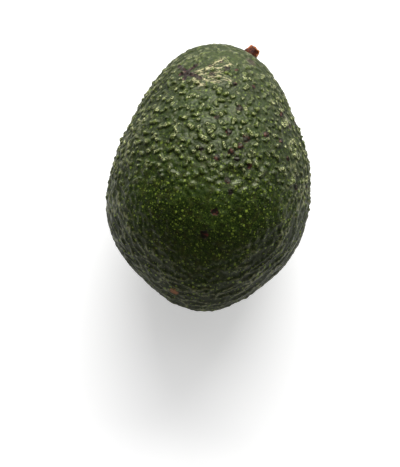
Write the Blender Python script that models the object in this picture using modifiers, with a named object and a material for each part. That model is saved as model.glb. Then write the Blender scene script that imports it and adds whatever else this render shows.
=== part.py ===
"""A whole avocado with a pebbled skin, lying on its side on a small flat spot, and its stem button.

Metres, +Z up. The long axis lies in the YZ plane: the stem end points along +Y and a little down.
The origin is the middle of the flat spot that the fruit rests on. Lengths below are in millimetres
until they reach Blender, where MM turns them into metres.
"""

import math
import random

import bmesh
import bpy
import numpy as np
from mathutils import Matrix, Vector

MM = 0.001

# The body: distance from its centre to the skin's outer level, each STATION_STEP_DEG from the stem end
# to the blossom end.
STATION_STEP_DEG = 22.5
STATION_RADII = (54.1, 48.8, 40.9, 37.8, 37.1, 38.1, 39.2, 41.6, 44.5)
DEPTH_SHARE = 0.95  # height of the lying fruit as a share of its width

# Swellings and hollows that keep it from being a turned shape: (direction, height).
# A direction is X to the side, Y to the stem end and Z up, before the fruit is laid down.
SWELLING_WIDTH_DEG = 24.0
SWELLINGS = (
    ((0.98, 0.17, 0.0), -0.4),
    ((0.62, 0.78, 0.0), -0.3),
    ((-0.22, 0.96, 0.10), 0.5),
    ((-0.93, 0.37, 0.0), -1.0),
    ((-0.85, -0.53, 0.0), 0.5),
    ((0.87, -0.50, 0.0), -0.9),
    ((0.25, 0.55, 0.80), 0.5),
    ((-0.35, -0.45, 0.82), -0.4),
    ((-0.30, 0.60, -0.74), -0.5),
    ((0.40, -0.50, -0.77), 0.4),
)

# How it lies.
REST_PITCH_DEG = 3.0  # the stem end dips by this
REST_CUT = 1.1  # how far the flat spot lies inside the outer level

# The skin's pebbles, larger than life: warts spread over the body, each a rounded hill.
WART_COUNT = 900
WART_SEED = 7
WART_JITTER = 0.6  # how far a wart first strays from an even spread, as a share of the spacing
WART_WIDTH = 2.0  # distance from a wart's top at which it has lost two thirds of its height
WART_DEPTH = 1.0  # from the outer level down to the lowest skin between warts
WART_TALLNESS = (0.7, 1.0)  # shares of WART_DEPTH
PUSH_STEPS = 12  # rounds in which warts that are too close push each other away
PUSH_SHARE = 0.35
PUSH_REACH = 0.6  # as a share of the spacing

# Where the skin is plain: warts fade out between the two distances from the spot.
CALM_LEVEL = -0.5
CALM_NEAR_REST = (11.0, 17.0)
STEM_LEVEL = 0.1
CALM_NEAR_STEM = (3.5, 8.0)

# The stem end.
STEM_DIRECTION = (0.185, 0.975, 0.03)  # where the stem leaves the body
STEM_LEAN = (0.13, -0.05, 0.0)  # how the stem leans away from the skin's normal there
DIMPLE_DEPTH = 0.2
DIMPLE_WIDTH = 5.5
PIT_RADIUS = 3.1
PIT_DEPTH = 1.6

# The stem button stands in the pit with this gap all round.
FIT_GAP = 0.3
BUTTON_RISE = 3.4  # above the dimple's floor
BUTTON_SEGMENTS = 28
# (radius, share of the button's height) down its outer side, from the middle of its hollow top
BUTTON_PROFILE = (
    (0.0, 0.91),
    (1.0, 0.93),
    (1.6, 0.985),
    (1.95, 1.0),
    (2.2, 0.97),
    (2.35, 0.85),
    (2.5, 0.6),
    (2.8, 0.36),
    (2.8, 0.0),
    (0.0, 0.0),
)

# The blossom end's scar, a low nub.
SCAR_DIRECTION = (-0.23, -0.96, 0.17)
SCAR_HEIGHT = 0.5
SCAR_WIDTH = 1.8

MESH_POINTS = 5700
AREA_STEPS = 400  # steps of the table that spaces a spiral evenly
GOLDEN_ANGLE = math.pi * (3 - math.sqrt(5))
NARROWEST_RING = 0.1  # stops a jitter near an end of the fruit from turning right round it
SKEW_DIRECTION = (0.31, 0.17, 0.93)  # gives each point of the body a first tangent
TANGENT_STEP = 1e-3
SHARP_EDGE_DEG = 40.0
MERGE_DISTANCE = 0.01

SKIN_COLOUR = (0.052, 0.068, 0.026, 1.0)
SKIN_ROUGHNESS = 0.45
STEM_COLOUR = (0.26, 0.10, 0.04, 1.0)
STEM_ROUGHNESS = 0.7


def clear_scene():
    for obj in list(bpy.data.objects):
        bpy.data.objects.remove(obj)


def unit(vectors):
    vectors = np.asarray(vectors, float)
    return vectors / np.linalg.norm(vectors, axis=-1, keepdims=True)


def series_terms(angles):
    return np.cos(np.outer(angles, np.arange(len(STATION_RADII))))


def polar_radius(angles):
    """The station radii joined by a cosine series, which meets both ends of the fruit square on."""
    stations = np.radians(STATION_STEP_DEG) * np.arange(len(STATION_RADII))
    weights = np.linalg.solve(series_terms(stations), STATION_RADII)
    return series_terms(angles) @ weights


def outer_points(directions):
    """Points of the outer level, where the tallest warts end, in the directions from the body's centre."""
    angles = np.arccos(np.clip(directions[:, 1], -1, 1))
    radii = polar_radius(angles)
    sharpness = 1 / (1 - math.cos(math.radians(SWELLING_WIDTH_DEG)))
    for direction, height in SWELLINGS:
        radii = radii + height * np.exp((directions @ unit(direction) - 1) * sharpness)
    return directions * radii[:, None] * (1, 1, DEPTH_SHARE)


def outward(directions):
    """The outer level's unit normals, from two small steps across the surface."""
    aside = unit(np.cross(directions, SKEW_DIRECTION))
    across = np.cross(directions, aside)
    here = outer_points(directions)
    one = outer_points(unit(directions + TANGENT_STEP * aside)) - here
    two = outer_points(unit(directions + TANGENT_STEP * across)) - here
    return unit(np.cross(one, two))


def fade(distance, near, far):
    """0 within near, 1 beyond far, smooth between."""
    t = np.clip((distance - near) / (far - near), 0, 1)
    return t * t * (3 - 2 * t)


def distance_to(points, place):
    return np.linalg.norm(points - place, axis=1)


def hill(points, place, width):
    """1 at the place, falling to 0 over about twice the width."""
    return np.exp(-((distance_to(points, place) / width) ** 2))


def landmark(direction):
    """The outer level's point and normal in one direction."""
    d = unit([direction])
    return outer_points(d)[0], outward(d)[0]


def direction_at(polar, around):
    """Directions at angles from the stem end and angles round the long axis."""
    return np.stack([np.sin(polar) * np.cos(around), np.cos(polar), np.sin(polar) * np.sin(around)], axis=1)


def spiral(count, jitter, draw):
    """Directions on a spiral from the stem end to the blossom end, each with an equal share of the skin.

    Jitter moves each at random, by up to that share of the spacing. Also returns the spacing.
    """
    angles = np.linspace(0, math.pi, AREA_STEPS)
    radii = polar_radius(angles)
    around, along = radii * np.sin(angles), radii * np.cos(angles)
    belt = np.hypot(np.diff(around), np.diff(along)) * math.pi * (around[1:] + around[:-1])
    area = np.concatenate([[0], np.cumsum(belt)])
    wanted = (np.arange(count) + 0.5) / count * area[-1]
    polar = np.interp(wanted, area, angles)
    turn = GOLDEN_ANGLE * np.arange(count)
    spacing = math.sqrt(area[-1] / count)
    stray = spacing * jitter / polar_radius(polar)
    polar = polar + stray * np.array([draw.uniform(-1, 1) for _ in polar])
    ring = np.maximum(np.sin(polar), NARROWEST_RING)
    turn = turn + stray * np.array([draw.uniform(-1, 1) for _ in turn]) / ring
    return direction_at(polar, turn), spacing


def wart_tops(draw):
    """Where the warts are: an uneven spread, in which those too close have pushed each other away."""
    directions, spacing = spiral(WART_COUNT, WART_JITTER, draw)
    for _ in range(PUSH_STEPS):
        points = outer_points(directions)
        gaps = points[:, None] - points[None]
        push = np.exp(-(gaps**2).sum(axis=2) / (PUSH_REACH * spacing) ** 2)
        points = points + PUSH_SHARE * (gaps * push[..., None]).sum(axis=1)
        directions = unit(points / (1, 1, DEPTH_SHARE))
    return outer_points(directions)


def skin_levels(points, rest, stem, draw):
    """Each point's level, measured from the outer level along the normal."""
    tops = wart_tops(draw)
    tallness = np.array([draw.uniform(*WART_TALLNESS) for _ in tops])
    distance = np.linalg.norm(points[:, None] - tops[None], axis=2)
    relief = (tallness * np.exp(-((distance / WART_WIDTH) ** 2))).max(axis=1)
    pebbled = WART_DEPTH * (relief - 1)
    levels = CALM_LEVEL + (pebbled - CALM_LEVEL) * fade(distance_to(points, rest), *CALM_NEAR_REST)
    levels = STEM_LEVEL + (levels - STEM_LEVEL) * fade(distance_to(points, stem), *CALM_NEAR_STEM)
    scar, _ = landmark(SCAR_DIRECTION)
    levels = levels - DIMPLE_DEPTH * hill(points, stem, DIMPLE_WIDTH)
    return levels + SCAR_HEIGHT * hill(points, scar, SCAR_WIDTH)


def lay_down():
    """The turn that lays the fruit on its side with the stem end dipping."""
    return Matrix.Rotation(-math.radians(REST_PITCH_DEG), 3, "X")


def rest_place(turn):
    """The outer level's lowest point once the fruit is laid down."""
    polar, around = np.meshgrid(np.radians(range(181)), np.radians(range(360)))
    points = outer_points(direction_at(polar.ravel(), around.ravel()))
    heights = points @ np.array(turn)[2]
    return points[heights.argmin()]


def material(name, colour, roughness):
    made = bpy.data.materials.new(name)
    made.use_nodes = True
    shader = made.node_tree.nodes["Principled BSDF"]
    shader.inputs["Base Color"].default_value = colour
    shader.inputs["Roughness"].default_value = roughness
    return made


def new_collection(name):
    made = bpy.data.collections.new(name)
    bpy.context.scene.collection.children.link(made)
    return made


def add_object(name, bm, collection):
    mesh = bpy.data.meshes.new(name)
    bm.to_mesh(mesh)
    bm.free()
    obj = bpy.data.objects.new(name, mesh)
    collection.objects.link(obj)
    return obj


def cut_flat_spot(bm):
    """Takes off what lies below the surface and closes the cut with one flat face."""
    everything = bm.verts[:] + bm.edges[:] + bm.faces[:]
    down = (0, 0, -1)
    cut = bmesh.ops.bisect_plane(bm, geom=everything, plane_co=(0, 0, 0), plane_no=down, clear_outer=True)
    rim = [e for e in cut["geom_cut"] if isinstance(e, bmesh.types.BMEdge)]
    bmesh.ops.contextual_create(bm, geom=rim)
    bmesh.ops.recalc_face_normals(bm, faces=bm.faces[:])


def make_fruit(turn, rest, stem, collection):
    """The skin, flesh and seed grown as one closed piece: an even net of points at the skin's levels."""
    draw = random.Random(WART_SEED)
    directions, _ = spiral(MESH_POINTS, 0, draw)
    outer = outer_points(directions)
    levels = skin_levels(outer, rest, stem, draw)
    points = outer + outward(directions) * levels[:, None]
    bm = bmesh.new()
    for d in directions:
        bm.verts.new(d)
    bmesh.ops.convex_hull(bm, input=bm.verts[:])
    for v, p in zip(bm.verts, points - rest):
        v.co = (turn @ Vector(p) - Vector((0, 0, REST_CUT))) * MM
    cut_flat_spot(bm)
    fruit = add_object("fruit", bm, collection)
    fruit.data.shade_smooth()
    fruit.data.set_sharp_from_angle(angle=math.radians(SHARP_EDGE_DEG))
    return fruit


def stem_frame(turn, rest, stem, normal):
    """Where the button stands: on the dimple's floor, with its own Z along the stem."""
    floor = stem + normal * (STEM_LEVEL - DIMPLE_DEPTH)
    place = turn @ Vector(floor - rest) - Vector((0, 0, REST_CUT))
    facing = (turn @ Vector(normal + STEM_LEAN)).to_track_quat("Z", "Y")
    return Matrix.LocRotScale(place * MM, facing, None)


def cut_pit(fruit, frame, collection):
    bm = bmesh.new()
    reach = 3 * PIT_DEPTH
    bmesh.ops.create_cone(
        bm,
        cap_ends=True,
        segments=BUTTON_SEGMENTS,
        radius1=PIT_RADIUS * MM,
        radius2=PIT_RADIUS * MM,
        depth=reach * MM,
        matrix=Matrix.Translation((0, 0, (reach / 2 - PIT_DEPTH) * MM)),
    )
    cutter = add_object("pit_cutter", bm, collection)
    cutter.matrix_world = frame
    cutter.hide_render = True
    cutter.display_type = "WIRE"
    pit = fruit.modifiers.new("stem pit", "BOOLEAN")
    pit.object = cutter
    pit.operation = "DIFFERENCE"


def make_button(frame, collection):
    """A woody button turned from its profile, with a hollow where the stalk broke off."""
    foot = FIT_GAP - PIT_DEPTH
    height = BUTTON_RISE - foot
    bm = bmesh.new()
    corners = [bm.verts.new((r * MM, 0, (foot + share * height) * MM)) for r, share in BUTTON_PROFILE]
    for a, b in zip(corners, corners[1:]):
        bm.edges.new((a, b))
    button = add_object("stem_button", bm, collection)
    button.matrix_world = frame
    screw = button.modifiers.new("turned", "SCREW")
    screw.steps = screw.render_steps = BUTTON_SEGMENTS
    screw.use_merge_vertices = True
    screw.merge_threshold = MERGE_DISTANCE * MM
    return button


def main():
    clear_scene()
    parts = new_collection("avocado")
    cutters = new_collection("cutters")
    turn = lay_down()
    rest = rest_place(turn)
    stem, stem_normal = landmark(STEM_DIRECTION)
    fruit = make_fruit(turn, rest, stem, parts)
    frame = stem_frame(turn, rest, stem, stem_normal)
    cut_pit(fruit, frame, cutters)
    button = make_button(frame, parts)
    fruit.data.materials.append(material("skin", SKIN_COLOUR, SKIN_ROUGHNESS))
    button.data.materials.append(material("stem", STEM_COLOUR, STEM_ROUGHNESS))


main()
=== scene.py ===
"""The looks of a whole avocado lying on its side: its pebbled skin with its marks, and its stalk's stub.

Lengths are in millimetres until MM turns them into metres. Directions are X to the side, Y to the stem
end and Z up, from the body's centre, before the fruit is laid down. Pixels are those of the photograph.
"""

import math
import random

import bpy
import numpy as np
from mathutils import Matrix, Vector
from mathutils.bvhtree import BVHTree
from mathutils.kdtree import KDTree

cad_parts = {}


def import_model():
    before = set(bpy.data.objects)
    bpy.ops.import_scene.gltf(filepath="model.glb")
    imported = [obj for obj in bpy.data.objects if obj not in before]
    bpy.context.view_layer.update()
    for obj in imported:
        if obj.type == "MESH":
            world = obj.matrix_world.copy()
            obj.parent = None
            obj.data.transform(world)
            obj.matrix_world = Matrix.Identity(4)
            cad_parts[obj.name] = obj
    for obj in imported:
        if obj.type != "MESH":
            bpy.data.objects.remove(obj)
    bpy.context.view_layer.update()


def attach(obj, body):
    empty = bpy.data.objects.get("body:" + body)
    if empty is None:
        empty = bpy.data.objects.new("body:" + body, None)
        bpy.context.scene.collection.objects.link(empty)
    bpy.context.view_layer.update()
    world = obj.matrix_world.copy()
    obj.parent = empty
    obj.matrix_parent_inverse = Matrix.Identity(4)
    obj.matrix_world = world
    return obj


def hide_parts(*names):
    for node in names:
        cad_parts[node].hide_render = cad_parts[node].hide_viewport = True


MM = 0.001

# The body, as the frame's solid has it, with its radii at even steps from the stem to the blossom end.
STATION_STEP_DEG = 22.5
STATION_RADII = (54.1, 48.8, 40.9, 37.8, 37.1, 38.1, 39.2, 41.6, 44.5)
DEPTH_SHARE = 0.95
SWELLING_WIDTH_DEG = 24.0
SWELLINGS = (
    ((0.98, 0.17, 0.0), -0.4),
    ((0.62, 0.78, 0.0), -0.3),
    ((-0.22, 0.96, 0.10), 0.5),
    ((-0.93, 0.37, 0.0), -1.0),
    ((-0.85, -0.53, 0.0), 0.5),
    ((0.87, -0.50, 0.0), -0.9),
    ((0.25, 0.55, 0.80), 0.5),
    ((-0.35, -0.45, 0.82), -0.4),
    ((-0.30, 0.60, -0.74), -0.5),
    ((0.40, -0.50, -0.77), 0.4),
)
REST_PITCH_DEG = 3.0
REST_CUT = 1.1  # how far the flat spot lies inside the outer level
STEM_DIRECTION = (0.185, 0.975, 0.03)
STEM_LEAN = (0.13, -0.05, 0.0)
DIMPLE_DEPTH = 0.2
DIMPLE_WIDTH = 5.5
CALM_LEVEL = -0.5  # the skin's level round the flat spot
CALM_NEAR_REST = (11.0, 17.0)  # the warts grow in between these distances from the flat spot
STEM_LEVEL = 0.1  # the skin's level round the stem
CALM_NEAR_STEM = (3.5, 8.0)
PIT_DEPTH = 1.6
PIT_WALL = (2.4, 3.1)
BUTTON_RISE = 3.4

# The photograph: how large a pixel is at the fruit, and where the body's centre falls in it.
PHOTO_SIZE = (400, 467)
PIXEL = 0.36
CENTRE_PIXEL = (209.9, 190.0)
CAMERA_ELEVATION_DEG = 78.0
CAMERA_TURN_DEG = 5.3
CAMERA_DISTANCE = 900.0
SENSOR_WIDTH = 36.0

# The light: a dome of soft light from behind the stem end. Its places are in degrees: azimuth from +Y
# towards +X, then elevation.
DOME_MIDDLE = (5.0, 39.0)
DOME_EDGE = (58.0, 29.0)  # it grows from nothing to full between these angles from its middle
DOME_GLOW = 1.08
DOME_FILL = 0.085
WALL_GLOW = 0.93
FLOOR_GLOW = 0.49  # lifts the floor's shadows, as light from below would
FLOOR_HALF = 4000.0
WINDOW = {"azimuth": 4.0, "elevation": 36.0, "distance": 1.2, "size": (1.3, 0.55), "watts": 24.0}
AIM_HEIGHT = 0.035  # the height over the floor that it is aimed at, in metres

# The finer skin's net: a cube's faces blown up to a sphere, each this many squares wide.
NET_SQUARES = 128
MATCH_DIGITS = 9  # corners that agree to this many digits are one corner

# The warts, and the broader lumps that they sit on.
WART_SEED = 23
WART_COUNT = 2900
WART_JITTER = 0.85
WART_RADIUS = (0.85, 1.6)
WART_HEIGHT = (0.35, 1.1)
WART_STEEPNESS = 1.2
WART_WARP = 0.25  # how far a wart's own outline strays from round
CLUMP_LENGTH = (9.0, 16.0)  # the warts stand taller and lower in patches about this wide
CLUMP_SHARE = 0.15
LUMP_COUNT = 800
LUMP_JITTER = 0.8
LUMP_RADIUS = (2.0, 3.6)
LUMP_HEIGHT = (0.1, 0.4)
LUMP_STEEPNESS = 1.3
LUMP_WARP = 0.6
WARP_LENGTH = (2.5, 5.0)
HILL_STRETCH = 0.4
HILL_NEIGHBOURS = 5
HILL_BLEND = 3  # the power that joins overlapping hills: the larger, the sharper the seams

# How tall the warts are, and where the skin between them is, at angles from the stem end.
RELIEF_ANGLES = (0.0, 18.0, 42.0, 94.0, 110.0, 180.0)
RELIEF_SHARES = (0.25, 0.3, 1.0, 1.0, 0.25, 0.25)
GROUND_LEVELS = (-0.1, -0.15, -0.8, -0.8, -0.35, -0.35)
CORKY_HALF = (78.0, 108.0)  # warts lose their corky tops between these angles from the stem end
SMOOTH_NECK = (18.0, 38.0)
FLANK_FACING = (0.45, 0.85)  # how far up the skin faces where the flanks are full, and where they end
WART_LOSS = 0.3  # how much lower the warts are on the flanks

# The skin's waves, each with a height and with the shortest and longest of its lengths.
ROLLING_HEIGHT = 0.12
ROLLING_LENGTH = (8.0, 18.0)
RUMPLE_HEIGHT = 0.08
RUMPLE_LENGTH = (1.4, 2.4)
RUMPLE_ON_GROUND = 0.3  # its strength between the warts, to which a wart adds its height
RIPPLE_HEIGHT = 0.1  # ripples, which take the warts' place on the round end
RIPPLE_LENGTH = (1.5, 2.9)
RIPPLE_AMONG_WARTS = 0.4
CREASE_HEIGHT = 0.6  # winding ridges on the flanks, with flat valleys between them
CREASE_LENGTH = (3.2, 6.5)
CREASE_ABOVE = 0.6  # how much of a ridge is raised over the skin's level, the rest being a sunk valley
CREASE_SOFTNESS = 0.07  # rounds the crests off
CREASE_SQUEEZE = (0.5, 0.5, 1.3)  # makes the ridges run level round the flanks
CREASE_ON_TOP = 0.2  # their strength on the round end where it faces up
CREST_WIDTH = 0.28
WAVE_COUNT = 14

# The marks on the skin.
FIXED_WART_ROOM = 1.5  # no random wart's middle is nearer to a mark's middle
DARK_WART_SPREAD = 1.35
CRATER_DEPTH = 0.45
CRATER_WIDTH = 0.6  # in the dark wart's radii
MARK_REACH = 2.0  # in the dark wart's radii
KNOB_RADIUS = 1.6
KNOB_HEIGHT = 1.2
KNOB_LUCK = 0.95
STAR_DEPTH = 0.3
STAR_WIDTH = 0.9
BLOSSOM_SCAR_HEIGHT = 0.4
BLOSSOM_SCAR_WIDTH = 1.8

# Warts that have gone dark, by their pixel, with their radius in millimetres.
DARK_WARTS = (
    ((240, 107), 1.0),
    ((217, 116), 0.8),
    ((229, 131), 0.95),
    ((247, 138), 1.15),
    ((241, 145), 1.0),
    ((267, 134), 1.0),
    ((283, 114), 0.9),
    ((291, 125), 0.7),
    ((297, 123), 0.7),
    ((282, 140), 0.8),
    ((231, 151), 1.0),
    ((217, 157), 0.9),
    ((237, 158), 0.8),
    ((250, 166), 0.8),
    ((228, 180), 0.9),
    ((201, 148), 0.7),
    ((289, 158), 0.7),
    ((231, 192), 0.8),
    ((298, 187), 0.8),
    ((308, 187), 0.7),
    ((215, 212), 1.05),
    ((204, 235), 1.15),
    ((254, 86), 0.7),
    ((227, 68), 1.0),
    ((212, 73), 1.0),
    ((221, 61), 0.7),
    ((210, 65), 0.6),
    ((235, 83), 0.75),
    ((237, 69), 0.5),
)
# Large yellow-green warts.
KNOBS = ((235, 120), (244, 121), (254, 113), (220, 89), (226, 93))

# The star-shaped scar, as arms between pixels, and the corky lines beside it.
STAR_ARMS = (
    ((186, 71), (178, 65)),
    ((186, 71), (196, 64)),
    ((186, 71), (200, 77)),
    ((179, 73), (191, 74)),
    ((186, 71), (184, 78)),
)
CORK_LINES = (
    ((197, 71), (205, 68)),
    ((200, 73), (208, 72)),
    ((201, 76), (208, 79)),
    ((207, 76), (220, 76)),
    ((206, 69), (212, 66)),
    ((215, 67), (221, 67)),
    ((213, 64), (223, 59)),
    ((224, 66), (231, 64)),
    ((221, 75), (231, 79)),
    ((211, 80), (219, 81)),
    ((195, 79), (202, 84)),
    ((215, 71), (222, 70)),
)
BLOSSOM_SCAR_PIXEL = (174, 292)
STEM_PATCH_PIXEL = (251, 61)

# The stalk's stub.
STALK_SIDES = 72
STALK_RINGS = 30
# (radius, share of the stub's height) from its foot in the fruit to the rim of its broken top
STALK_PROFILE = (
    (2.75, 0.0),
    (2.75, 0.4),
    (2.5, 0.55),
    (2.3, 0.7),
    (2.2, 0.85),
    (2.1, 0.95),
    (1.85, 1.0),
)
# (height, how many go round, where they start, how far they twist on the way up), angles in radians
STALK_RIDGES = (
    (0.10, 7, 1.3, 0.8),
    (0.07, 17, 0.0, 2.0),
    (0.05, 29, 0.0, 5.0),
    (0.05, 3, 0.0, 14.0),
)
RIDGES_AT_FOOT = 0.3  # their share of that height at the foot
RIM_WAVE_HEIGHT = 0.16
RIM_WAVES = 5
RIM_WAVE_START = 0.4
RIM_WAVE_STEEPNESS = 6  # the larger, the nearer to the rim they end
# (share of the rim's radius, how far below the rim), for the hollow in its top
STALK_HOLLOW = ((0.8, 0.12), (0.62, 0.36), (0.42, 0.42), (0.2, 0.34))
HOLLOW_LUMP = 0.08
HOLLOW_LUMPS = 6
HOLLOW_TWIST = 20
STALK_SHOWS_FROM = 0.6  # the level over the pit's rim where its colouring begins

TANGENT_STEP = 1e-3
SKEW_DIRECTION = (0.31, 0.17, 0.93)
AREA_STEPS = 400
GOLDEN_ANGLE = math.pi * (3 - math.sqrt(5))
NARROWEST_RING = 0.1


def unit(vectors):
    vectors = np.asarray(vectors, float)
    return vectors / np.linalg.norm(vectors, axis=-1, keepdims=True)


def series_terms(angles):
    return np.cos(np.outer(angles, np.arange(len(STATION_RADII))))


def polar_radius(angles):
    stations = np.radians(STATION_STEP_DEG) * np.arange(len(STATION_RADII))
    weights = np.linalg.solve(series_terms(stations), STATION_RADII)
    return series_terms(angles) @ weights


def polar_angle(directions):
    return np.arccos(np.clip(directions[:, 1], -1, 1))


def outer_points(directions):
    """Points of the outer level, where the tallest warts end, in the directions from the body's centre."""
    radii = polar_radius(polar_angle(directions))
    sharpness = 1 / (1 - math.cos(math.radians(SWELLING_WIDTH_DEG)))
    for direction, height in SWELLINGS:
        radii = radii + height * np.exp((directions @ unit(direction) - 1) * sharpness)
    return directions * radii[:, None] * (1, 1, DEPTH_SHARE)


def outward(directions):
    """Which way the outer level faces at each of the directions."""
    aside = unit(np.cross(directions, SKEW_DIRECTION))
    across = np.cross(directions, aside)
    here = outer_points(directions)
    one = outer_points(unit(directions + TANGENT_STEP * aside)) - here
    two = outer_points(unit(directions + TANGENT_STEP * across)) - here
    return unit(np.cross(one, two))


def fade(value, near, far):
    """0 up to near, 1 beyond far, smooth between."""
    t = np.clip((value - near) / (far - near), 0, 1)
    return t * t * (3 - 2 * t)


def distance_to(points, place):
    return np.linalg.norm(points - place, axis=1)


def hill(distance, width):
    return np.exp(-((distance / width) ** 2))


def landmark(direction):
    d = unit([direction])
    return outer_points(d)[0], outward(d)[0]


def direction_at(polar, around):
    return np.stack([np.sin(polar) * np.cos(around), np.cos(polar), np.sin(polar) * np.sin(around)], axis=1)


class Lie:
    """How the fruit lies: turns its own points, in millimetres, to places over the floor, and back."""

    def __init__(self):
        pitch = math.radians(REST_PITCH_DEG)
        self.turn = np.array(Matrix.Rotation(-pitch, 3, "X"))
        polar, around = np.meshgrid(np.radians(range(181)), np.radians(range(360)))
        points = outer_points(direction_at(polar.ravel(), around.ravel()))
        self.rest = points[(points @ self.turn[2]).argmin()]

    def place(self, points):
        return (points - self.rest) @ self.turn.T - (0, 0, REST_CUT)

    def unplace(self, points):
        return (points + (0, 0, REST_CUT)) @ self.turn + self.rest


class Camera:
    """The photograph's camera, in millimetres over the floor."""

    def __init__(self, centre):
        turn = math.radians(CAMERA_TURN_DEG)
        tilt = math.radians(CAMERA_ELEVATION_DEG)
        self.right = np.array((math.cos(turn), math.sin(turn), 0))
        ahead = np.array((-math.sin(turn), math.cos(turn), 0))
        self.up = ahead * math.sin(tilt) + (0, 0, math.cos(tilt))
        self.back = (0, 0, math.sin(tilt)) - ahead * math.cos(tilt)
        self.middle = np.array(PHOTO_SIZE) / 2
        across, down = (np.array(CENTRE_PIXEL) - self.middle) * PIXEL
        self.aim = centre - self.right * across + self.up * down
        self.place = self.aim + self.back * CAMERA_DISTANCE

    def ray(self, pixel):
        across, down = (np.array(pixel) - self.middle) * PIXEL
        target = self.aim + self.right * across - self.up * down
        return self.place, unit(target - self.place)

    def add(self):
        data = bpy.data.cameras.new("camera")
        data.sensor_fit = "HORIZONTAL"
        data.sensor_width = SENSOR_WIDTH
        data.lens = SENSOR_WIDTH * CAMERA_DISTANCE / (PHOTO_SIZE[0] * PIXEL)
        data.clip_start = 0.01
        obj = bpy.data.objects.new("camera", data)
        bpy.context.scene.collection.objects.link(obj)
        axes = Matrix((self.right, self.up, self.back)).transposed()
        obj.matrix_world = Matrix.Translation(self.place * MM) @ axes.to_4x4()
        bpy.context.scene.camera = obj


def cube_sphere(squares):
    """Directions and four-sided faces of a cube's faces blown up to a sphere, evenly spaced and closed."""
    steps = np.tan(np.linspace(-1, 1, squares + 1) * math.pi / 4)
    u, v = np.meshgrid(steps, steps, indexing="ij")
    face = np.stack([u.ravel(), v.ravel(), np.ones(u.size)], axis=1)
    index = np.arange(u.size).reshape(u.shape)
    corners = (index[:-1, :-1], index[1:, :-1], index[1:, 1:], index[:-1, 1:])
    quads = np.stack([c.ravel() for c in corners], axis=1)
    quarter = math.pi / 2
    turns = [Matrix.Rotation(k * quarter, 3, "X") for k in range(4)]
    turns += [Matrix.Rotation(k * quarter, 3, "Y") for k in (1, 3)]
    points = np.concatenate([face @ np.array(t).T for t in turns])
    faces = np.concatenate([quads + k * len(face) for k in range(len(turns))])
    rounded = np.round(points, MATCH_DIGITS)
    _, first, index = np.unique(rounded, axis=0, return_index=True, return_inverse=True)
    return unit(points[first]), index.ravel()[faces]


def spiral(count, jitter, draw):
    """Directions on a spiral with an equal share of the skin each, strayed at random by jitter."""
    angles = np.linspace(0, math.pi, AREA_STEPS)
    radii = polar_radius(angles)
    around, along = radii * np.sin(angles), radii * np.cos(angles)
    belt = np.hypot(np.diff(around), np.diff(along)) * math.pi * (around[1:] + around[:-1])
    area = np.concatenate([[0], np.cumsum(belt)])
    wanted = (np.arange(count) + 0.5) / count * area[-1]
    polar = np.interp(wanted, area, angles)
    turn = GOLDEN_ANGLE * np.arange(count)
    stray = math.sqrt(area[-1] / count) * jitter / polar_radius(polar)
    polar = polar + stray * np.array([draw.uniform(-1, 1) for _ in polar])
    ring = np.maximum(np.sin(polar), NARROWEST_RING)
    turn = turn + stray * np.array([draw.uniform(-1, 1) for _ in turn]) / ring
    return direction_at(polar, turn)


def waves(points, lengths, draw):
    """Rolling ground, mostly from -1 to 1: waves of random direction and length."""
    total = np.zeros(len(points))
    for _ in range(WAVE_COUNT):
        way = unit([draw.gauss(0, 1) for _ in range(3)])
        total += np.sin(points @ way * 2 * math.pi / draw.uniform(*lengths) + draw.uniform(0, 2 * math.pi))
    return total / math.sqrt(WAVE_COUNT)


def near_segments(points, segments):
    """Distance to the nearest of the straight segments."""
    best = np.full(len(points), np.inf)
    for a, b in segments:
        run = b - a
        share = np.clip((points - a) @ run / (run @ run), 0, 1)
        best = np.minimum(best, np.linalg.norm(points - a - share[:, None] * run, axis=1))
    return best


def nearest(points, centres, count):
    tree = KDTree(len(centres))
    for i, c in enumerate(centres):
        tree.insert(c, i)
    tree.balance()
    return np.array([[hit[1] for hit in tree.find_n(p, count)] for p in points])


class Body:
    """The smooth outer body, to find where a pixel of the photograph falls on it."""

    def __init__(self, directions, faces, lie, camera):
        self.lie = lie
        self.camera = camera
        self.points = outer_points(directions)
        placed = lie.place(self.points)
        self.tree = BVHTree.FromPolygons(placed.tolist(), faces.tolist())

    def at(self, pixel):
        place, way = self.camera.ray(pixel)
        hit = self.tree.ray_cast(Vector(place), Vector(way))[0]
        if hit is None:
            raise ValueError(f"pixel {pixel} misses the fruit")
        return self.lie.unplace(np.array(hit))

    def spots(self, pixels):
        return np.array([self.at(pixel) for pixel in pixels])

    def distance_to_lines(self, lines):
        """How far each point of the body is from the nearest of the lines between two pixels."""
        return near_segments(self.points, [self.spots(ends) for ends in lines])


def add_attribute(mesh, name, values):
    values = np.asarray(values, np.float32)
    kind = "FLOAT" if values.ndim == 1 else "FLOAT_VECTOR"
    made = mesh.attributes.new(name, kind, "POINT")
    made.data.foreach_set("value" if kind == "FLOAT" else "vector", values.ravel())


def add_mesh(name, points, faces, attributes):
    mesh = bpy.data.meshes.new(name)
    mesh.from_pydata((points * MM).tolist(), [], faces)
    mesh.update()
    mesh.shade_smooth()
    for key, values in attributes.items():
        add_attribute(mesh, key, values)
    obj = bpy.data.objects.new(name, mesh)
    bpy.context.scene.collection.objects.link(obj)
    return obj


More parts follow.
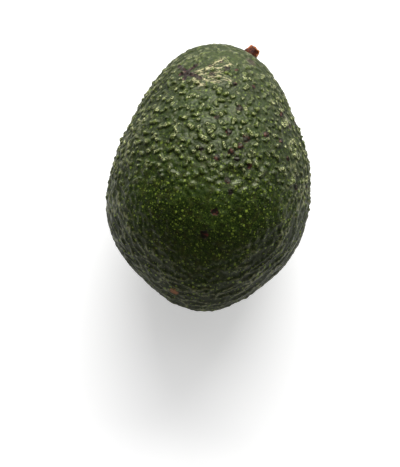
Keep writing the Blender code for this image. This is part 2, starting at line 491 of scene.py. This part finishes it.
class Hills:
    """Rounded hills of random radius, height and stretch, with their tops on the body."""

    def __init__(self, tops, radius, height, draw):
        count = len(tops)
        self.tops = tops
        self.radius = np.array([draw.uniform(*radius) for _ in range(count)])
        self.height = np.array([draw.uniform(*height) for _ in range(count)])
        self.luck = np.array([draw.random() for _ in range(count)])
        self.long_way = unit([[draw.gauss(0, 1) for _ in range(3)] for _ in range(count)])

    def measure(self, points, steepness):
        """Each point's height, its nearest hill, and its distance and way from that top, in its radii."""
        near = nearest(points, self.tops, HILL_NEIGHBOURS)
        offset = (points[:, None] - self.tops[near]) / self.radius[near][..., None]
        along = (offset * self.long_way[near]).sum(axis=2)
        reach = np.sqrt((offset**2).sum(axis=2) + HILL_STRETCH * along**2)
        bumps = self.height[near] * np.clip(1 - reach**2, 0, None) ** steepness
        relief = (bumps**HILL_BLEND).sum(axis=1) ** (1 / HILL_BLEND)
        rows = np.arange(len(points))
        first = reach.argmin(axis=1)
        return relief, near[rows, first], reach[rows, first], offset[rows, first]


def draw_warts(dark, dark_radius, knobs, draw):
    """The random warts, then the dark ones and the knobs, which the random ones keep clear of."""
    fixed = np.concatenate([dark, knobs])
    tops = outer_points(spiral(WART_COUNT, WART_JITTER, draw))
    tops = tops[[distance_to(fixed, top).min() > FIXED_WART_ROOM for top in tops]]
    warts = Hills(np.concatenate([tops, fixed]), WART_RADIUS, WART_HEIGHT, draw)
    warts.height *= 1 + CLUMP_SHARE * waves(warts.tops, CLUMP_LENGTH, draw)
    warts.radius[len(tops):] = np.concatenate([dark_radius * DARK_WART_SPREAD, [KNOB_RADIUS] * len(knobs)])
    warts.height[-len(knobs):] = KNOB_HEIGHT
    warts.luck[-len(knobs):] = KNOB_LUCK
    return warts


def pebbled_levels(points, angle, bulb, side, relief, swell, draw):
    """How far the skin lies from the outer level, and how near each point is to a ridge's crest."""
    strength = np.interp(angle, RELIEF_ANGLES, RELIEF_SHARES) * (1 - WART_LOSS * side)
    rippled = RIPPLE_AMONG_WARTS + (1 - RIPPLE_AMONG_WARTS) * bulb
    creased = np.maximum(side, CREASE_ON_TOP * bulb)
    levels = np.interp(angle, RELIEF_ANGLES, GROUND_LEVELS) + (relief + swell) * strength
    levels += ROLLING_HEIGHT * waves(points, ROLLING_LENGTH, draw)
    levels += RUMPLE_HEIGHT * waves(points, RUMPLE_LENGTH, draw) * (RUMPLE_ON_GROUND + relief) * strength
    levels += RIPPLE_HEIGHT * waves(points, RIPPLE_LENGTH, draw) * rippled
    crease = np.sqrt(waves(points * CREASE_SQUEEZE, CREASE_LENGTH, draw) ** 2 + CREASE_SOFTNESS**2)
    levels += CREASE_HEIGHT * (CREASE_ABOVE - np.tanh(crease)) * creased
    crests = np.clip(1 - (crease - CREASE_SOFTNESS) / CREST_WIDTH, 0, 1)
    return levels, crests


def make_skin(directions, faces, body, lie):
    """The fruit's whole surface, with what its material needs to know at each point."""
    draw = random.Random(WART_SEED)
    points = body.points
    ways = outward(directions)
    angle = np.degrees(polar_angle(directions))
    bulb = fade(angle, *CORKY_HALF)
    side = 1 - fade((ways @ lie.turn.T)[:, 2], *FLANK_FACING)
    stem_at = distance_to(points, landmark(STEM_DIRECTION)[0])

    dark = body.spots(pixel for pixel, _ in DARK_WARTS)
    dark_radius = np.array([radius for _, radius in DARK_WARTS])
    warts = draw_warts(dark, dark_radius, body.spots(KNOBS), draw)
    lumps = Hills(outer_points(spiral(LUMP_COUNT, LUMP_JITTER, draw)), LUMP_RADIUS, LUMP_HEIGHT, draw)
    warp = np.stack([waves(points, WARP_LENGTH, draw) for _ in range(3)], axis=1)
    relief, owner, reach, way = warts.measure(points + WART_WARP * warp, WART_STEEPNESS)
    swell = lumps.measure(points + LUMP_WARP * warp, LUMP_STEEPNESS)[0]
    levels, crests = pebbled_levels(points, angle, bulb, side, relief, swell, draw)
    levels = CALM_LEVEL + (levels - CALM_LEVEL) * fade(distance_to(points, lie.rest), *CALM_NEAR_REST)
    levels = STEM_LEVEL + (levels - STEM_LEVEL) * fade(stem_at, *CALM_NEAR_STEM)

    star = body.distance_to_lines(STAR_ARMS)
    blossom_at = distance_to(points, body.at(BLOSSOM_SCAR_PIXEL))
    marks = nearest(points, dark, 1)[:, 0]
    mark_way = (points - dark[marks]) / dark_radius[marks][:, None]
    mark_at = np.linalg.norm(mark_way, axis=1)
    levels = levels - STAR_DEPTH * hill(star, STAR_WIDTH)
    levels = levels + BLOSSOM_SCAR_HEIGHT * hill(blossom_at, BLOSSOM_SCAR_WIDTH)
    levels = levels - DIMPLE_DEPTH * hill(stem_at, DIMPLE_WIDTH)
    levels = levels - PIT_DEPTH * (1 - fade(stem_at, *PIT_WALL))
    levels = levels - CRATER_DEPTH * hill(mark_at, CRATER_WIDTH)

    placed = lie.place(points + ways * levels[:, None])
    placed[:, 2] = np.maximum(placed[:, 2], 0)
    attributes = {
        "wart_way": way,
        "wart_near": np.clip(1 - reach, 0, 1),
        "wart_luck": warts.luck[owner],
        "relief": relief / WART_HEIGHT[1],
        "mark_way": mark_way,
        "mark_near": np.clip(MARK_REACH - mark_at, 0, 1),
        "star": star,
        "cork": body.distance_to_lines(CORK_LINES),
        "blossom": blossom_at,
        "patch": distance_to(points, body.at(STEM_PATCH_PIXEL)),
        "stem": stem_at,
        "crest": crests * side,
        "trough": (1 - crests) * side,
        "bulb": bulb,
        "neck": 1 - fade(angle, *SMOOTH_NECK),
    }
    return add_mesh("fruit_skin", placed, faces.tolist(), attributes)


def stalk_ring(angles, level, radius):
    """A ring round the stub, at a level from 0 at its foot to 1 at its rim."""
    ridges = 0
    for height, count, start, twist in STALK_RIDGES:
        ridges = ridges + height * np.sin(count * angles + start + twist * level)
    r = radius + ridges * (RIDGES_AT_FOOT + (1 - RIDGES_AT_FOOT) * level)
    wave = RIM_WAVE_HEIGHT * level**RIM_WAVE_STEEPNESS * np.sin(RIM_WAVES * angles + RIM_WAVE_START)
    z = (BUTTON_RISE + PIT_DEPTH) * level - PIT_DEPTH + wave
    return np.stack([r * np.cos(angles), r * np.sin(angles), z], axis=1)


def make_stalk(lie):
    """The woody stub: a ridged drum that narrows towards its broken, hollow top."""
    stem, normal = landmark(STEM_DIRECTION)
    floor = lie.place(stem + normal * (STEM_LEVEL - DIMPLE_DEPTH))
    axis = lie.turn @ unit(normal + STEM_LEAN)
    to_world = np.array(Vector(axis).to_track_quat("Z", "Y").to_matrix())
    radii, shares = np.array(STALK_PROFILE).T
    angles = np.linspace(0, 2 * math.pi, STALK_SIDES, endpoint=False)
    levels = np.linspace(0, 1, STALK_RINGS)
    rings = [stalk_ring(angles, level, np.interp(level, shares, radii)) for level in levels]
    rim = rings[-1]
    for inward, drop in STALK_HOLLOW:
        sunk = rim * (inward, inward, 1)
        sunk[:, 2] -= drop + HOLLOW_LUMP * np.sin(HOLLOW_LUMPS * angles + HOLLOW_TWIST * inward)
        rings.append(sunk)
    points = np.concatenate(rings)
    faces = []
    for row in range(len(rings) - 1):
        for k in range(STALK_SIDES):
            a, b = row * STALK_SIDES + k, row * STALK_SIDES + (k + 1) % STALK_SIDES
            faces.append((a, b, b + STALK_SIDES, a + STALK_SIDES))
    faces.append(tuple(range(STALK_SIDES))[::-1])
    last = (len(rings) - 1) * STALK_SIDES
    faces.append(tuple(range(last, last + STALK_SIDES)))
    rise = np.clip((points[:, 2] - STALK_SHOWS_FROM) / (BUTTON_RISE - STALK_SHOWS_FROM), 0, 1)
    return add_mesh("stalk_stub", points @ to_world.T + floor, faces, {"rise": rise, "stalk_way": points})


def colour(red, green, blue):
    """A screen colour, 0 to 255, as the linear colour that a shader takes."""
    parts = [c / 255 for c in (red, green, blue)]
    return tuple(c / 12.92 if c <= 0.04045 else ((c + 0.055) / 1.055) ** 2.4 for c in parts) + (1.0,)


# The skin's colours, from the ground up.
DEEP_GREEN = colour(19, 31, 8)
GREEN = colour(31, 46, 13)
# Lighter green for the neck, partly painted sheen.
NECK_GREEN_AND_SHEEN = colour(70, 84, 36)
# Lighter, warmer green for the blossom end: partly its own tan, partly painted fill light.
TAN_AND_FILL_GREEN = colour(44, 54, 17)
BROWN = colour(60, 52, 24)
MOTTLE_GREEN = colour(66, 82, 26)
# Painted shade for the flanks' valleys.
VALLEY_SHADE = colour(16, 20, 6)
# Pale tint for the flanks' crests, partly painted highlight.
CREST_TINT_AND_HIGHLIGHT = colour(138, 138, 98)
WART_TOP = colour(96, 110, 44)
SPECK = colour(122, 140, 52)
# Painted shade round the warts' feet.
WART_FOOT_SHADE = colour(24, 36, 8)
# Pale crust, partly painted highlight.
CRUST_AND_HIGHLIGHT = colour(204, 206, 148)
# Dark middle of a wart, partly painted shade.
WART_MIDDLE_AND_SHADE = colour(20, 26, 8)
MARK_COLOURS = (colour(16, 5, 6), colour(80, 40, 34))
CORK = colour(194, 184, 142)
STAR_COLOURS = (colour(26, 8, 14), colour(108, 62, 60))
BLOSSOM_SCAR = colour(150, 88, 46)
DULL_PATCH = colour(72, 56, 54)
COLLAR = colour(186, 174, 138)
SHINE = (0.98, 1.0, 0.75, 1.0)
# The stub's colours: dry wood, and orange wood from its left side to its right.
DRY_WOOD = (colour(42, 10, 4), colour(110, 52, 26))
ORANGE_WOOD = (colour(240, 150, 84), colour(176, 100, 52))
FLOOR_GREYS = ((0.69, 0.69, 0.69, 1), (0.71, 0.71, 0.705, 1))
WHITE = (1, 1, 1, 1)

# The skin's specks: (millimetres between them, strength).
SPECKS = ((0.85, 0.75), (1.25, 0.9), (2.0, 1.0))


class Tree:
    """Builds a material: each call adds nodes, and returns the last one's first output or the one named."""

    def __init__(self, name):
        self.material = bpy.data.materials.new(name)
        self.material.use_nodes = True
        self.tree = self.material.node_tree
        self.shader = self.tree.nodes["Principled BSDF"]

    @classmethod
    def of(cls, tree):
        made = cls.__new__(cls)
        made.tree = tree
        return made

    def fill(self, node, inputs):
        for key, value in inputs.items():
            socket = node.inputs[key]
            if isinstance(value, bpy.types.NodeSocket):
                self.tree.links.new(value, socket)
            else:
                socket.default_value = value

    def add(self, kind, inputs=None, output=0, **settings):
        node = self.tree.nodes.new("ShaderNode" + kind)
        for key, value in settings.items():
            setattr(node, key, value)
        self.fill(node, inputs or {})
        return node.outputs[output]

    def math(self, operation, *values):
        return self.add("Math", dict(enumerate(values)), operation=operation)

    def times(self, product, *values):
        for value in values:
            product = self.math("MULTIPLY", product, value)
        return product

    def line(self, value, slope, start):
        """The value times slope, plus start."""
        return self.math("MULTIPLY_ADD", value, slope, start)

    def less(self, value):
        """1 less the value."""
        return self.math("SUBTRACT", 1.0, value)

    def step(self, value, start, end):
        """0 at start, 1 at end, smooth between."""
        inputs = {"Value": value, "From Min": start, "From Max": end}
        return self.add("MapRange", inputs, interpolation_type="SMOOTHSTEP")

    def within(self, value, near, far):
        """1 up to near, 0 beyond far, smooth between."""
        return self.less(self.step(value, near, far))

    def band(self, value, rise, fall):
        """Rises from 0 to 1 between the first two values, and falls back between the other two."""
        return self.times(self.step(value, *rise), self.within(value, *fall))

    def mix(self, share, first, second):
        node = self.tree.nodes.new("ShaderNodeMix")
        node.data_type = "RGBA"
        self.fill(node, {0: share, 6: first, 7: second})
        return node.outputs[2]

    def attribute(self, name, output="Fac"):
        return self.add("Attribute", output=output, attribute_name=name)

    def length(self, vector):
        return self.add("VectorMath", {0: vector}, output="Value", operation="LENGTH")

    def scaled(self, vector, scales):
        return self.add("VectorMath", {0: vector, 1: scales}, operation="MULTIPLY")

    def noise(self, where, size, detail=2.0, roughness=0.5):
        """Noise from 0 to 1 whose features are about size millimetres."""
        inputs = {"Vector": where, "Scale": 1 / (size * MM), "Detail": detail, "Roughness": roughness}
        return self.add("TexNoise", inputs)


class SkinPaint(Tree):
    """The skin's material: coats of colour over each other, then its gloss and its finest relief."""

    def __init__(self):
        super().__init__("avocado skin")
        self.where = self.add("TexCoord", output="Object")
        self.relief = self.attribute("relief")
        self.luck = self.attribute("wart_luck")
        self.trough = self.attribute("trough")
        self.corky = self.less(self.attribute("bulb"))
        self.on_body = self.line(self.attribute("neck"), -0.7, 1.0)
        self.rough_half = self.times(self.corky, self.on_body)
        self.reddish = self.patches(size=1.4, start=0.52, end=0.66)

    def patches(self, size, start, end, detail=2.0):
        """Patches about size millimetres wide, where the noise is above start, full above end."""
        return self.step(self.noise(self.where, size, detail), start, end)

    def stray(self, size, width, detail=2.0):
        """Noise on both sides of 0, which makes an edge ragged over about that width."""
        return self.times(self.math("SUBTRACT", self.noise(self.where, size, detail), 0.5), width)

    def cells(self, spacing, randomness):
        node = self.tree.nodes.new("ShaderNodeTexVoronoi")
        self.fill(node, {"Vector": self.where, "Scale": 1 / (spacing * MM), "Randomness": randomness})
        return node

    def coat(self, amount, tint, share=1.0):
        """Lays a colour over the skin, as strongly as share says where the amount is 1."""
        self.skin = self.mix(self.times(amount, share), self.skin, tint)

    def ground(self):
        """Green that drifts from place to place, with brown here and there, most at the blossom end, and
        some painted light and shade.
        """
        drift = self.patches(size=14.0, start=0.35, end=0.65)
        self.skin = self.mix(drift, DEEP_GREEN, GREEN)
        # Lighter green on the neck: partly its own tone, partly painted sheen where it faces the light.
        self.coat(self.attribute("neck"), NECK_GREEN_AND_SHEEN, share=0.35)
        # Towards the blossom end the green is lighter and warmer, partly its own tan and partly painted
        # fill light that lifts its shade; more brown grows there too.
        near_blossom_end = self.within(self.attribute("blossom"), 6.0, 40.0)
        self.coat(near_blossom_end, TAN_AND_FILL_GREEN, share=0.4)
        brown = self.patches(size=2.4, start=0.46, end=0.68, detail=3.0)
        self.coat(self.times(brown, self.line(near_blossom_end, 0.35, 0.3)), BROWN)
        self.coat(self.patches(size=0.48, start=0.48, end=0.62), MOTTLE_GREEN, share=0.6)
        # Painted shade: the valleys between the flanks' ridges are darkened.
        self.coat(self.trough, VALLEY_SHADE, share=0.5)
        # Pale crests on the flanks' ridges, in patches: partly a paler tint, partly a painted highlight
        # along them.
        crest_patches = self.patches(size=1.3, start=0.42, end=0.62, detail=3.0)
        self.coat(self.times(self.attribute("crest"), crest_patches), CREST_TINT_AND_HIGHLIGHT, share=0.85)
        tops = self.step(self.relief, 0.3, 0.8)
        self.coat(self.times(tops, self.line(self.corky, 0.4, 0.05)), WART_TOP)

    def specks(self):
        """Fine pale specks, the skin's pores, some larger than others, with ragged edges."""
        speck = 0.0
        ragged = self.stray(size=0.5, width=0.5)
        for spacing, strength in SPECKS:
            pores = self.cells(spacing, 1.0)
            chance = self.add("SeparateColor", {"Color": pores.outputs["Color"]})
            size = self.line(chance, 0.14, 0.18)
            away = self.math("ADD", pores.outputs["Distance"], ragged)
            spot = self.within(away, self.times(size, 0.5), size)
            spot = self.times(self.step(chance, 0.2, 0.95), strength, spot)
            speck = self.math("MAXIMUM", speck, spot)
        self.speck = self.times(self.on_body, self.line(self.corky, -0.4, 1.0), speck)
        self.coat(self.speck, SPECK)

    def warts(self):
        """A broken ring of pale crust on most warts, partly painted highlight, with painted shade round it,
        and a dark middle in many, partly painted shade.
        """
        ring_at = self.length(self.attribute("wart_way", "Vector"))
        ring_at = self.math("ADD", ring_at, self.stray(size=0.9, width=0.6))
        # Painted shade: a darker ring round each wart's foot, on the stem half.
        foot = self.band(ring_at, rise=(0.55, 0.8), fall=(0.9, 1.2))
        self.coat(self.times(foot, self.corky), WART_FOOT_SHADE, share=0.5)
        # The pale crust is partly the warts' corky skin, partly a painted highlight on their tops.
        crust = self.band(ring_at, rise=(0.1, 0.25), fall=(0.4, 0.7))
        crust = self.times(crust, self.step(self.attribute("wart_near"), 0.12, 0.3))
        crust = self.times(crust, self.times(self.step(self.luck, 0.05, 0.7), self.rough_half))
        crust = self.times(crust, self.patches(size=0.45, start=0.49, end=0.58))
        patchy = self.line(self.patches(size=6.0, start=0.4, end=0.6), 0.5, 0.5)
        self.crust = self.times(crust, patchy)
        self.coat(self.crust, CRUST_AND_HIGHLIGHT, share=0.85)
        # A darker middle in many warts: partly the pore's own colour, partly painted shade in its pit.
        self.pore = self.times(self.within(ring_at, 0.1, 0.26), self.step(self.luck, 0.3, 0.6))
        self.coat(self.pore, WART_MIDDLE_AND_SHADE, share=0.7)
        self.knob = self.within(ring_at, 0.4, 0.95)

    def dark_warts(self):
        """The warts that have gone dark, with ragged edges."""
        mark_at = self.length(self.attribute("mark_way", "Vector"))
        mark_at = self.math("ADD", mark_at, self.stray(size=0.9, width=2.0, detail=3.0))
        mark = self.within(mark_at, 1.15, 1.4)
        self.mark = self.times(mark, self.step(self.attribute("mark_near"), 0.1, 0.4))
        self.coat(self.mark, self.mix(self.reddish, *MARK_COLOURS), share=0.96)

    def scars(self):
        """The corky lines, the star, the blossom end's scar, the dull patch and the edge by the stalk."""
        ragged = self.stray(size=1.0, width=1.8, detail=3.0)
        cork_at = self.attribute("cork")
        lines = self.within(self.math("ADD", cork_at, ragged), 0.0, 0.5)
        streaks = self.noise(self.scaled(self.where, (0.3, 1.0, 1.0)), 0.55)
        streaks = self.times(self.step(streaks, 0.53, 0.64), 0.6, self.within(cork_at, 0.5, 2.2))
        self.cork = self.math("MAXIMUM", lines, streaks)
        self.coat(self.cork, CORK, share=0.8)
        self.star = self.within(self.line(ragged, 0.4, self.attribute("star")), 0.65, 0.9)
        star_colour = self.mix(self.times(self.reddish, 0.6), *STAR_COLOURS)
        self.coat(self.star, star_colour, share=0.97)
        blossom_at = self.math("ADD", self.attribute("blossom"), ragged)
        self.coat(self.within(blossom_at, 1.1, 2.0), BLOSSOM_SCAR, share=0.85)
        patch_at = self.line(ragged, 2.0, self.attribute("patch"))
        self.coat(self.within(patch_at, 1.2, 2.6), DULL_PATCH, share=0.55)
        stem_at = self.line(ragged, 0.6, self.attribute("stem"))
        self.coat(self.band(stem_at, rise=(2.7, 3.0), fall=(3.1, 3.6)), COLLAR, share=0.6)

    def roughness(self):
        """Glossy in patches, and duller on the marks, the cork, the flanks' valleys and between warts."""
        rough = self.line(self.patches(size=4.0, start=0.3, end=0.7, detail=3.0), 0.08, 0.22)
        between = self.times(self.within(self.relief, 0.1, 0.5), self.corky)
        for place, more in ((self.mark, 0.1), (self.cork, 0.15), (self.trough, 0.25), (between, 0.14)):
            rough = self.line(place, more, rough)
        return rough

    def fine_relief(self):
        """Relief too fine for the mesh, in millimetres: grain, small cobbles, and each wart's crust."""
        dome = self.math("POWER", self.cells(1.7, 0.9).outputs["Distance"], 2.0)
        height = self.times(dome, self.line(self.corky, -0.16, -0.04))
        rugged = self.times(self.line(self.relief, 0.35, 0.04), self.corky)
        layers = (
            (self.noise(self.where, 0.35, 3.0, 0.6), 0.03),
            (self.noise(self.where, 0.8), rugged),
            (self.knob, self.times(self.rough_half, 0.16)),
            (self.pore, -0.14),
            (self.mark, -0.12),
            (self.star, -0.05),
            (self.speck, 0.03),
            (self.cork, 0.06),
            (self.crust, 0.03),
        )
        for layer, rise in layers:
            height = self.line(layer, rise, height)
        return self.add("Bump", {"Height": height, "Strength": 1.0, "Distance": MM})


def skin_material():
    t = SkinPaint()
    t.ground()
    t.specks()
    t.warts()
    t.dark_warts()
    t.scars()
    t.fill(t.shader, {"Base Color": t.skin, "Roughness": t.roughness(), "Normal": t.fine_relief()})
    t.fill(t.shader, {"IOR": 1.36, "Specular Tint": SHINE})
    return t.material


def stalk_material():
    t = Tree("dry stalk")
    where = t.attribute("stalk_way", "Vector")
    rise = t.attribute("rise")
    across = t.add("SeparateXYZ", {"Vector": where})
    streaks = t.scaled(where, (1.0, 1.0, 0.25))
    fibre = t.add("TexNoise", {"Vector": streaks, "Scale": 3.0, "Detail": 4.0, "Roughness": 0.6})
    wood = t.mix(t.step(fibre, 0.42, 0.72), *DRY_WOOD)
    # Orange wood shows on its two flanks and at its rim, with dark wood down the middle between.
    blotch = t.math("SUBTRACT", t.add("TexNoise", {"Vector": where, "Scale": 0.9, "Detail": 2.0}), 0.5)
    flank = t.line(blotch, 2.0, t.math("ABSOLUTE", t.math("ADD", across, 0.4)))
    orange_share = t.times(t.step(flank, 1.2, 2.0), t.step(rise, 0.1, 0.5))
    rim = t.step(t.line(blotch, 0.5, rise), 0.78, 0.86)
    orange_share = t.math("MAXIMUM", orange_share, t.times(rim, 0.45))
    # The hollow in its top stays dark.
    off_axis = t.line(blotch, 1.2, t.length(t.scaled(where, (1.0, 1.0, 0.0))))
    orange_share = t.times(orange_share, t.step(off_axis, 1.0, 1.7))
    orange = t.mix(t.step(across, -0.8, 0.8), *ORANGE_WOOD)
    wood = t.mix(t.times(orange_share, 0.85), wood, orange)
    bump = t.add("Bump", {"Height": fibre, "Strength": 0.7, "Distance": 0.2 * MM})
    t.fill(t.shader, {"Base Color": wood, "Roughness": 0.62, "Normal": bump, "Specular IOR Level": 0.15})
    return t.material


def floor_material():
    t = Tree("white floor")
    where = t.add("TexCoord", output="Object")
    shade = t.mix(t.step(t.noise(where, 60.0), 0.3, 0.7), *FLOOR_GREYS)
    seen = t.add("LightPath", output="Is Camera Ray")
    seen = t.math("MAXIMUM", seen, t.add("LightPath", output="Is Diffuse Ray"))
    t.fill(t.shader, {"Base Color": shade, "Roughness": 0.9, "Specular IOR Level": 0.1})
    t.fill(t.shader, {"Emission Color": WHITE, "Emission Strength": t.times(seen, FLOOR_GLOW)})
    return t.material


def add_floor():
    sides = ((-1, -1, 0), (1, -1, 0), (1, 1, 0), (-1, 1, 0))
    floor = add_mesh("floor", np.array(sides) * FLOOR_HALF, [(0, 1, 2, 3)], {})
    floor.data.materials.append(floor_material())


def light_way(azimuth, elevation):
    """The direction of a light: azimuth from +Y towards +X, and both angles in degrees."""
    a, e = math.radians(azimuth), math.radians(elevation)
    return Vector((math.sin(a) * math.cos(e), math.cos(a) * math.cos(e), math.sin(e)))


def add_softbox(name, azimuth, elevation, distance, size, watts):
    """A large soft light aimed at the fruit, with its lengths in metres."""
    data = bpy.data.lights.new(name, "AREA")
    data.shape = "RECTANGLE"
    data.size, data.size_y = size
    data.energy = watts
    obj = bpy.data.objects.new(name, data)
    bpy.context.scene.collection.objects.link(obj)
    way = light_way(azimuth, elevation)
    obj.location = way * distance + Vector((0, 0, AIM_HEIGHT))
    obj.rotation_euler = way.to_track_quat("Z", "Y").to_euler()
    obj.visible_camera = False


def set_world():
    """A dome of soft light, brightest towards DOME_MIDDLE, which the camera sees as a plain pale wall."""
    world = bpy.data.worlds.new("studio")
    bpy.context.scene.world = world
    world.use_nodes = True
    t = Tree.of(world.node_tree)
    way = t.add("TexCoord", output="Generated")
    middle = tuple(light_way(*DOME_MIDDLE))
    nearness = t.add("VectorMath", {0: way, 1: middle}, output="Value", operation="DOT_PRODUCT")
    far, near = (math.cos(math.radians(angle)) for angle in DOME_EDGE)
    glow = t.line(t.step(nearness, far, near), DOME_GLOW, DOME_FILL)
    seen = t.add("LightPath", output="Is Camera Ray")
    strength = t.add("Mix", {0: seen, 2: glow, 3: WALL_GLOW})
    t.fill(world.node_tree.nodes["Background"], {"Color": WHITE, "Strength": strength})


def main():
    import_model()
    lie = Lie()
    camera = Camera(lie.place(np.zeros(3)))
    camera.add()
    directions, faces = cube_sphere(NET_SQUARES)
    body = Body(directions, faces, lie, camera)

    skin = make_skin(directions, faces, body, lie)
    skin.data.materials.append(skin_material())
    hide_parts("fruit")
    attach(skin, "root")

    stalk = make_stalk(lie)
    stalk.data.materials.append(stalk_material())
    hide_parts("stem_button")
    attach(stalk, "root")

    add_floor()
    add_softbox("window", **WINDOW)
    set_world()
    bpy.context.scene.view_settings.view_transform = "Standard"


main()
